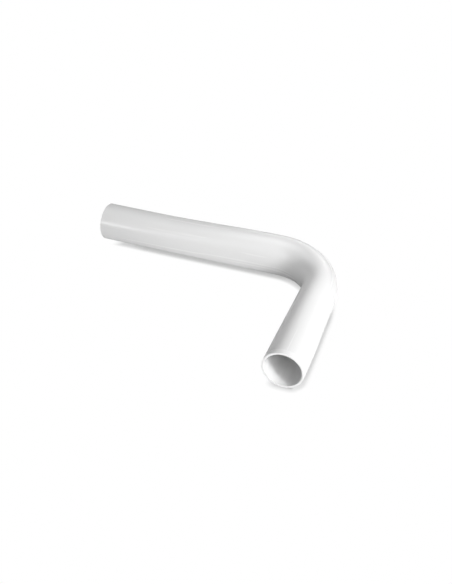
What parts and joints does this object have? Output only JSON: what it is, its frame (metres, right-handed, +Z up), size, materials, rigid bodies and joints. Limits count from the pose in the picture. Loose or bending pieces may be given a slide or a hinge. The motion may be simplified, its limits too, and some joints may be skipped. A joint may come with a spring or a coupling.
{
  "type": "flush pipe",
  "caption": "Plain-ended white plastic flush pipe with a long leg, a right-angle bend and a short leg, carrying flush water from a low-level cistern to a toilet pan.",
  "frame": {"origin": "On the surface that the pipe lies on, under the middle of its box.", "axes": "+X runs along the long leg from its cut end towards the bend, +Y from the short leg's cut end towards the bend, +Z up from the surface."},
  "size_m": [0.295, 0.197, 0.047],
  "materials": {
    "white_plastic": "smooth extruded white plastic with a soft sheen"
  },
  "bodies": {
    "root": {"flush_pipe": "white_plastic"}
  },
  "joints": []
}
